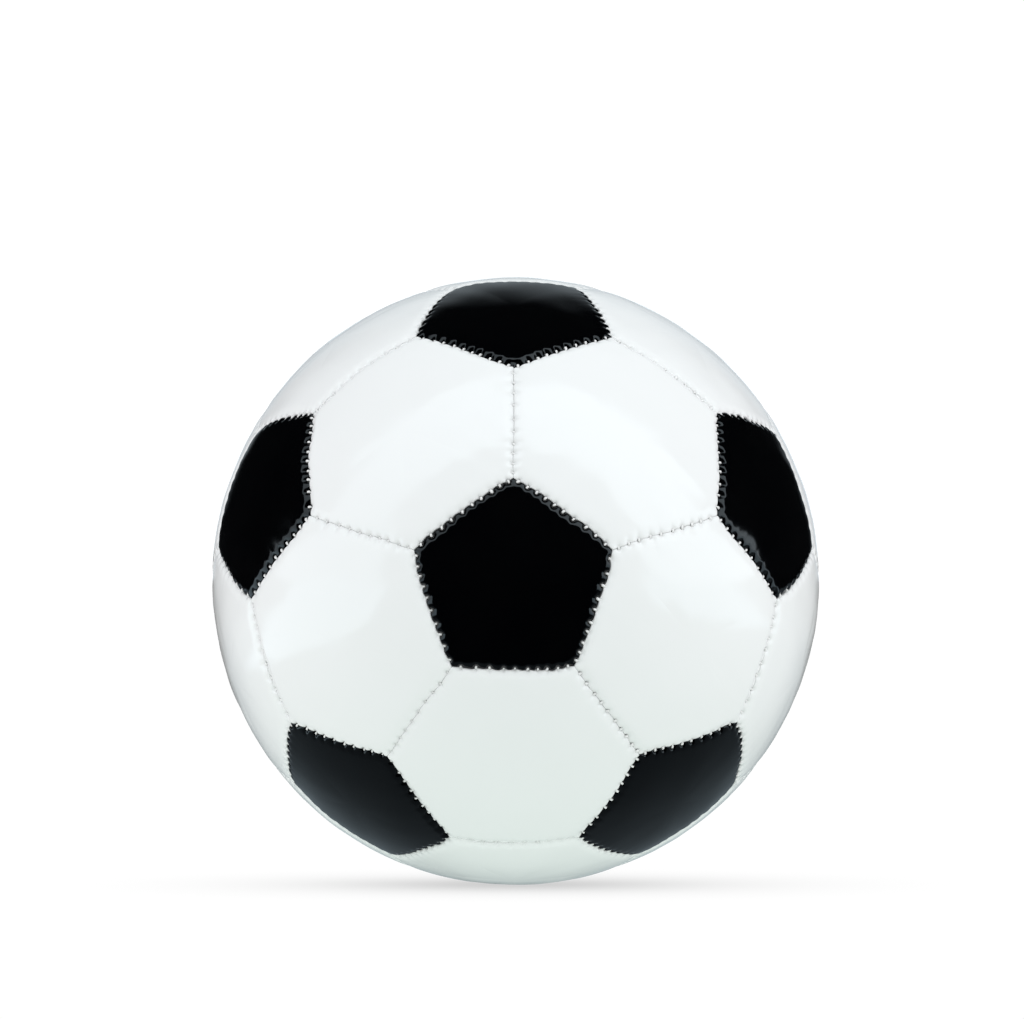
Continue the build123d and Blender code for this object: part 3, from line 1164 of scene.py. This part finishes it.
@dataclass(frozen=True)
class PlainLayer:
    """A layer inside the ball, or its valve: one colour, mottled, with grain of its own scale."""

    name: str
    colour: tuple[float, float, float]
    dark_colour: tuple[float, float, float]
    roughness: float
    grain_scale: float
    grain_depth: float
    mottle: tuple[float, float] = (0.35, 0.65)  # of the mask, where the colour changes

    def make(self, grain: bpy.types.NodeTree) -> bpy.types.Material:
        """Make the material.

        Args:
            grain: the shared grain group.

        Returns:
            The material.
        """
        settings = {"Grain Scale": self.grain_scale, "Grain Depth": self.grain_depth}
        material, sheet, shader, mask = new_material(self.name, grain, settings)
        ramp = sheet.add("ShaderNodeValToRGB")
        stops = zip(ramp.color_ramp.elements, self.mottle, (self.dark_colour, self.colour))
        for element, position, colour in stops:
            element.position = position
            element.color = (*colour, 1.0)
        sheet.link(mask, ramp.inputs["Fac"])
        sheet.link(ramp.outputs["Color"], shader.inputs["Base Color"])
        shader.inputs["Roughness"].default_value = self.roughness
        return material


@dataclass
class InnerLayers:
    """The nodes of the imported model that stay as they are, and their finishes."""

    FINISHES = (
        (
            PlainLayer("foam", (0.70, 0.68, 0.60), (0.62, 0.60, 0.52), 0.95, 1400.0, 0.12),
            ("pentagon_pads", "hexagon_pads", "valve_panel_pad"),
        ),
        (
            PlainLayer("lining_cloth", (0.76, 0.74, 0.68), (0.68, 0.66, 0.60), 0.9, 2000.0, 0.10),
            ("pentagon_linings", "hexagon_linings", "valve_panel_lining", "valve_patch"),
        ),
        (
            PlainLayer(
                "bladder_rubber", (0.02, 0.02, 0.02), (0.012, 0.012, 0.012), 0.55, 700.0, 0.03
            ),
            ("bladder",),
        ),
        (
            PlainLayer(
                "valve_rubber", (0.035, 0.035, 0.035), (0.022, 0.022, 0.022), 0.42, 900.0, 0.02
            ),
            ("valve_sleeve", "valve_plug"),
        ),
    )

    def dress(self, nodes: dict[str, bpy.types.Object], grain: bpy.types.NodeTree) -> None:
        """Give each layer its material.

        Args:
            nodes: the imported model's pieces by name.
            grain: the shared grain group.
        """
        for finish, names in self.FINISHES:
            material = finish.make(grain)
            for name in names:
                piece = nodes[name]
                piece.data.materials.clear()
                piece.data.materials.append(material)
                log.info("dressed %s in %s", name, finish.name)


# ---------------------------------------------------------------------------------------- studio
@dataclass(frozen=True)
class Floor:
    """The white floor: as seen, as the ball mirrors it, and the light that it gives.

    Fades run along X, Y or the distance from the ball's middle, in metres.
    """

    half: float = 60.0
    white: float = 1.02
    shadow_reach: float = 1.0
    shadow_hardness: float = 1.9
    shadow_strength: float = 0.40
    shadow_samples: int = 16
    mirrored: tuple[float, float, float] = (0.74, 0.92, 1.03)
    front_edge: Fade = Fade(-0.18, -0.14, 0.0, 0.13)
    close_by: Fade = Fade(0.4, 1.5, 1.0, 0.0)
    back: Fade = Fade(-0.08, 0.10, 0.0, 0.30)
    back_middle: Fade = Fade(0.04, 0.16, 1.0, 0.25)
    left_strip: Fade = Fade(-0.36, -0.30, 1.4, 0.0)
    right_strip: Fade = Fade(0.50, 0.62, 0.0, 1.3)
    strip_slant: float = 0.8  # the strips' near ends run back by this much of X
    strip_near: Fade = Fade(-0.04, 0.06)
    strip_far: Fade = Fade(0.10, 0.34, 1.0, 0.0)
    bounce_middle: float = 0.02
    bounce_aside: Fade = Fade(0.07, 0.48)
    bounce_tints: tuple[tuple[float, ...], ...] = ((0.80, 0.88, 0.84), (1.38, 1.30, 1.35))
    bounce_back: Fade = Fade(-0.5, -0.04, 0.55, 1.10)
    bounce_across: Fade = Fade(-0.3, 0.3, 1.11, 0.94)


@dataclass(frozen=True)
class Sky:
    """The surroundings: as seen, as the ball mirrors them, and the light that they give.

    Fades run along the X, Y or Z of a direction.
    """

    white: float = 1.1
    mirrored: tuple[float, float, float] = (0.80, 0.92, 1.0)
    low_edge: Fade = Fade(0.12, 0.28, 0.38, 0.0)
    arch_inside: Fade = Fade(-0.635, -0.595)
    arch_outside: Fade = Fade(-0.20, -0.15, 1.0, 0.0)
    arch_across: Fade = Fade(-0.9, 0.9, 1.05, 1.7, straight=True)
    rim: Fade = Fade(0.985, 0.999, 0.004, 0.9)
    backdrop_aside: Fade = Fade(0.24, 0.42, 1.0, 0.0)
    backdrop_back: Fade = Fade(0.60, 0.95, 0.0, 0.40)
    fill_axis: tuple[float, float, float] = (0.0, -0.3, 0.954)
    fill_along: Fade = Fade(-1.0, 1.0, straight=True)
    fill_tints: tuple[tuple[float, ...], ...] = ((1.02, 0.95, 0.97), (0.99, 1.04, 1.06))
    fill_across: Fade = Fade(-0.9, 1.0, 0.87, 1.17)
    fill_back: Fade = Fade(-1.0, 1.0, 1.30, 0.86, straight=True)


@dataclass
class Studio:
    """The floor, the surroundings and the camera."""

    radius: float  # of the ball, in metres
    distance: float = 27.0  # from the ball's centre to the camera, in ball radii
    lens: float = 287.9
    sensor: float = 36.0
    right: float = 0.00042  # the ball's centre lies this far right of the lens's axis, in radians
    below: float = 0.00873  # and this far below it
    turn: tuple[float, float, float] = (0.28, 0.02, 0.46)  # of the camera round the ball, degrees
    clip: tuple[float, float] = (0.1, 100.0)
    floor: Floor = Floor()
    sky: Sky = Sky()

    WHITE = (1.0, 1.0, 1.0)

    def build(self) -> None:
        """Make everything."""
        self.make_floor()
        self.make_surroundings()
        self.make_camera()

    def make_camera(self) -> None:
        """A long lens, level, a little above the ball's middle."""
        data = bpy.data.cameras.new("camera")
        data.lens, data.sensor_width = self.lens, self.sensor
        data.clip_start, data.clip_end = self.clip
        camera = bpy.data.objects.new("camera", data)
        bpy.context.scene.collection.objects.link(camera)
        turn = Euler([math.radians(a) for a in self.turn]).to_matrix()
        reach = self.distance * self.radius
        camera.location = turn @ Vector((-self.right * reach, -reach, self.below * reach))
        camera.rotation_euler = (turn @ Euler((math.pi / 2, 0, 0)).to_matrix()).to_euler()
        bpy.context.scene.camera = camera

    def make_floor(self) -> None:
        """A white floor with a faint shadow, which mirrors darker in front of the ball than behind."""
        look, half = self.floor, self.floor.half
        corners = [(-half, -half), (half, -half), (half, half), (-half, half)]
        mesh = bpy.data.meshes.new("floor")
        mesh.from_pydata([(x, y, -self.radius) for x, y in corners], [], [(0, 1, 2, 3)])
        floor = bpy.data.objects.new("floor", mesh)
        bpy.context.scene.collection.objects.link(floor)
        material = bpy.data.materials.new("white_sweep")
        material.use_nodes = True
        material.node_tree.nodes.clear()
        sheet = NodeSheet(material.node_tree)
        place, x, y, _ = sheet.axes("Object")
        aside = sheet.math("ABSOLUTE", x)

        hidden = sheet.add("ShaderNodeAmbientOcclusion", samples=look.shadow_samples)
        hidden.inputs["Distance"].default_value = look.shadow_reach
        shade = sheet.math("SUBTRACT", 1.0, hidden.outputs["AO"])
        dark = sheet.math("POWER", shade, look.shadow_hardness)
        shadow = sheet.product(dark, look.shadow_strength)
        seen = sheet.emission(self.WHITE, sheet.math("SUBTRACT", look.white, shadow))

        far = sheet.add("ShaderNodeVectorMath", operation="LENGTH")
        sheet.link(place, far.inputs[0])
        close = sheet.ramp(far.outputs["Value"], look.close_by)
        front = sheet.ramp(y, look.front_edge)
        behind = sheet.product(sheet.ramp(y, look.back), sheet.ramp(aside, look.back_middle))
        strips = sheet.math(
            "MAXIMUM", sheet.ramp(x, look.left_strip), sheet.ramp(x, look.right_strip)
        )
        slanted = sheet.total(y, sheet.product(aside, look.strip_slant))
        ends = sheet.product(sheet.ramp(slanted, look.strip_near), sheet.ramp(y, look.strip_far))
        glow = sheet.math(
            "MAXIMUM", sheet.product(sheet.total(front, behind), close), sheet.product(strips, ends)
        )
        mirrored = sheet.emission(look.mirrored, glow)

        off = sheet.math("ABSOLUTE", sheet.math("SUBTRACT", x, look.bounce_middle))
        tint = sheet.blend(sheet.ramp(off, look.bounce_aside), *look.bounce_tints)
        level = sheet.product(sheet.ramp(y, look.bounce_back), sheet.ramp(x, look.bounce_across))
        bounced = sheet.emission(tint, level)
        sheet.by_ray(seen, mirrored, bounced, "ShaderNodeOutputMaterial")
        mesh.materials.append(material)

    def make_surroundings(self) -> None:
        """White as seen, an arch of soft boxes round a dark middle as mirrored, and even fill light.

        The arch is the part of the sky that lies between two angles from -Y and above a low edge.
        """
        look = self.sky
        world = bpy.data.worlds.new("studio")
        bpy.context.scene.world = world
        world.use_nodes = True
        world.node_tree.nodes.clear()
        sheet = NodeSheet(world.node_tree)
        place, x, y, z = sheet.axes("Generated")
        aside = sheet.math("ABSOLUTE", x)

        lowered = sheet.math("SUBTRACT", y, sheet.ramp(sheet.math("ABSOLUTE", z), look.low_edge))
        arch = sheet.product(
            sheet.ramp(y, look.arch_inside),
            sheet.ramp(lowered, look.arch_outside),
            sheet.ramp(x, look.arch_across),
        )
        backdrop = sheet.product(
            sheet.ramp(aside, look.backdrop_aside), sheet.ramp(y, look.backdrop_back)
        )
        glow = sheet.total(arch, sheet.ramp(y, look.rim), backdrop)
        mirrored = sheet.background(look.mirrored, glow)

        aim = sheet.add("ShaderNodeVectorMath", operation="DOT_PRODUCT")
        sheet.link(place, aim.inputs[0])
        aim.inputs[1].default_value = look.fill_axis
        colour = sheet.blend(sheet.ramp(aim.outputs["Value"], look.fill_along), *look.fill_tints)
        lit = sheet.product(sheet.ramp(x, look.fill_across), sheet.ramp(y, look.fill_back))
        fill = sheet.background(colour, lit)
        seen = sheet.background(self.WHITE, look.white)
        sheet.by_ray(seen, mirrored, fill, "ShaderNodeOutputWorld")


# ------------------------------------------------------------------------------------------ main
def main() -> None:
    """Load the frame, read the ball's sizes from it, and build each part of the ball and its studio.
    """
    logging.basicConfig(level=logging.INFO, format="%(name)s: %(message)s")
    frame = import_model()
    radius = -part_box("pentagon_panel_front")[0].y / MM
    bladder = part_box("bladder")
    inner_radius = (bladder[1].x - bladder[0].x) / 2 / MM + LINING_GAP

    grain = make_grain_group()
    # The second colour of each sheet is its painted seam shade; on the black sheet it equals the panel
    # colour.
    black = GlossySheet("black_pvc", (0.0003, 0.0004, 0.0007), (0.0003, 0.0004, 0.0007), 0.10)
    white = GlossySheet("white_pvc", (0.86, 0.875, 0.87), (0.84, 0.85, 0.845), 0.12)
    layout = BallLayout(radius)
    PanelSkins(layout, inner_radius).build(
        {PanelKind.PENTAGON: black.make(grain), PanelKind.HEXAGON: white.make(grain)}
    )
    Stitches(layout).build(TwistedThread().make(grain))
    InnerLayers().dress(frame["nodes"], grain)

    Studio(radius * MM).build()
    bpy.context.scene.view_settings.view_transform = "Standard"


if __name__ == "__main__":
    main()
